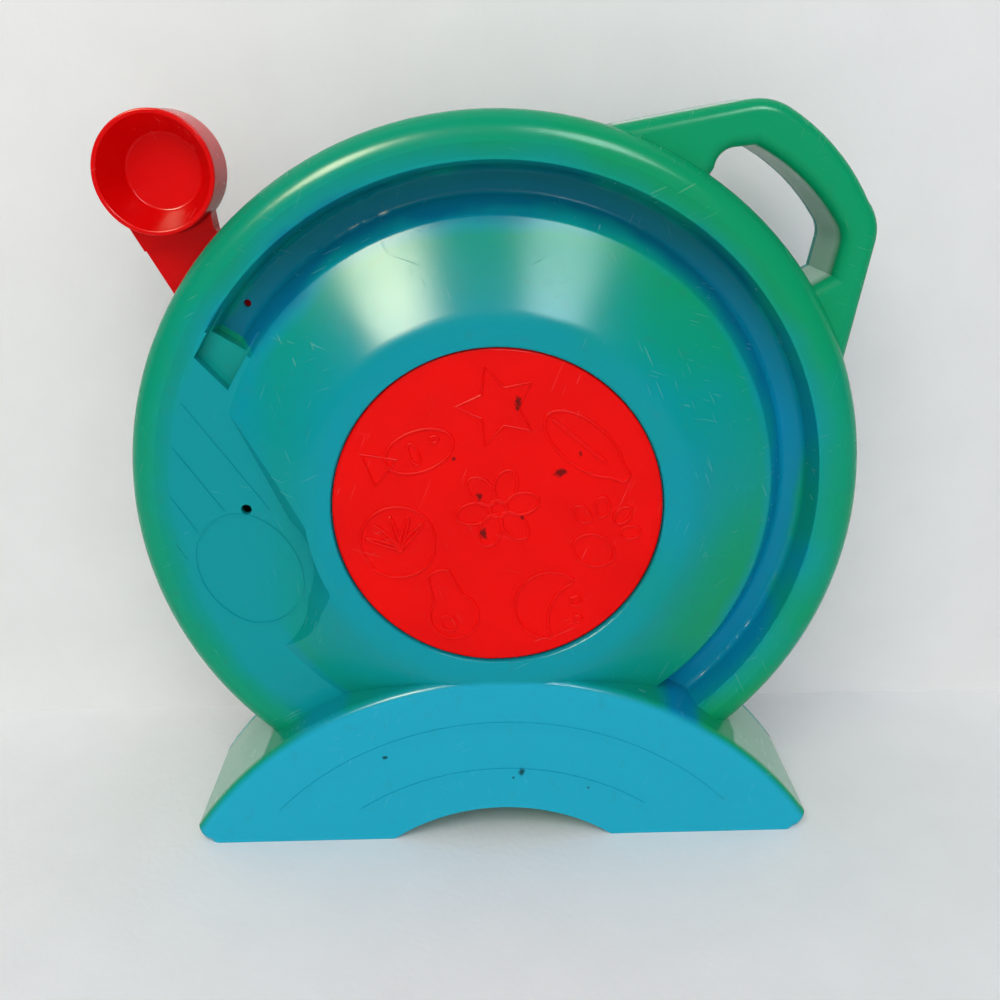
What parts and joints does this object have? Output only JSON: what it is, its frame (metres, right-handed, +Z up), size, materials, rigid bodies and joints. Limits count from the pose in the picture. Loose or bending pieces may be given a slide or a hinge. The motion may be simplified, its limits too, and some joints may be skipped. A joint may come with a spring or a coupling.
{
  "type": "animal sound spinner toy",
  "caption": "Free-standing round sound toy on an arched base, with a dial and pointer, a side lever with a round cup and a grab handle",
  "frame": {"origin": "centre of the footprint, on the ground under the arched base", "axes": "+X to the right as seen from the speaker side, +Y from the speaker side towards the dial side, +Z up"},
  "size_m": [0.2502, 0.064, 0.2534],
  "materials": {
    "shell": "glossy moulded plastic",
    "red_disc": "glossy moulded plastic",
    "lever_red": "glossy moulded plastic",
    "cone": "thin formed plastic",
    "picture": "printed card",
    "white_plastic": "moulded plastic",
    "black_plastic": "pressed plastic",
    "pointer_yellow": "glossy moulded plastic",
    "plate_steel": "stamped sheet",
    "screw_steel": "bright steel",
    "spring_steel": "blued strip",
    "bush_brass": "turned brass"
  },
  "bodies": {
    "housing": {"rear_shell": "shell", "front_shell": "shell", "speaker_disc": "red_disc", "sound_cone": "cone", "picture_disc": "picture", "dial_bush": "white_plastic", "chassis_rear_plate": "plate_steel", "chassis_front_plate": "plate_steel", "chassis_posts": "white_plastic", "chassis_screws": "screw_steel", "spindle_bushes": "bush_brass", "housing_screws": "screw_steel", "lever_pin": "screw_steel", "tonearm_post": "white_plastic", "governor_drum": "white_plastic", "spring_cup": "white_plastic", "main_spring": "spring_steel"},
    "lever": {"lever_arm": "lever_red", "knob_cup": "lever_red", "sector_gear": "white_plastic"},
    "winder": {"winding_pinion": "white_plastic", "pawl_carrier": "white_plastic", "clutch_pawls": "black_plastic", "winding_sleeve": "white_plastic"},
    "spinner": {"spindle": "screw_steel", "record_clip": "white_plastic", "record_disc": "black_plastic", "turntable": "white_plastic", "turntable_gear": "white_plastic", "ratchet_wheel": "black_plastic", "pointer_arrow": "pointer_yellow", "pointer_cap": "pointer_yellow"},
    "idler": {"idler_shaft": "screw_steel", "idler_pinion": "white_plastic", "idler_gear": "white_plastic"},
    "governor": {"governor_shaft": "screw_steel", "governor_pinion": "bush_brass", "governor_hub": "white_plastic", "governor_weights": "bush_brass"},
    "pickup": {"tonearm": "white_plastic", "stylus": "screw_steel"}
  },
  "joints": [
    {"name": "lever_pull", "type": "hinge", "parent": "housing", "child": "lever", "pos_m": [-0.0592, 0, 0.14825], "axis": [0, -1, 0], "range_deg": [0, 45], "stiffness_Nm_per_rad": 0.25, "springref_deg": -22.92},
    {"name": "winder_turn", "type": "hinge", "parent": "housing", "child": "winder", "pos_m": [0, 0, 0.1267], "axis": [0, -1, 0], "range_deg": [-144, 0]},
    {"name": "pointer_spin", "type": "hinge", "parent": "housing", "child": "spinner", "pos_m": [0, 0, 0.1267], "axis": [0, -1, 0], "continuous": true},
    {"name": "idler_spin", "type": "hinge", "parent": "housing", "child": "idler", "pos_m": [0.03113, 0, 0.1049], "axis": [0, -1, 0], "continuous": true},
    {"name": "governor_spin", "type": "hinge", "parent": "housing", "child": "governor", "pos_m": [0.0271, 0, 0.08206], "axis": [0, -1, 0], "continuous": true},
    {"name": "pickup_swing", "type": "hinge", "parent": "housing", "child": "pickup", "pos_m": [-0.04, 0, 0.0907], "axis": [0, -1, 0], "range_deg": [0, 38], "stiffness_Nm_per_rad": 0.0004, "springref_deg": -5.73}
  ],
  "couplings": [
    {"joint": "winder_turn", "follows": "lever_pull", "ratio": -3.2},
    {"joint": "idler_spin", "follows": "pointer_spin", "ratio": -5.3333},
    {"joint": "governor_spin", "follows": "pointer_spin", "ratio": 25.6}
  ]
}
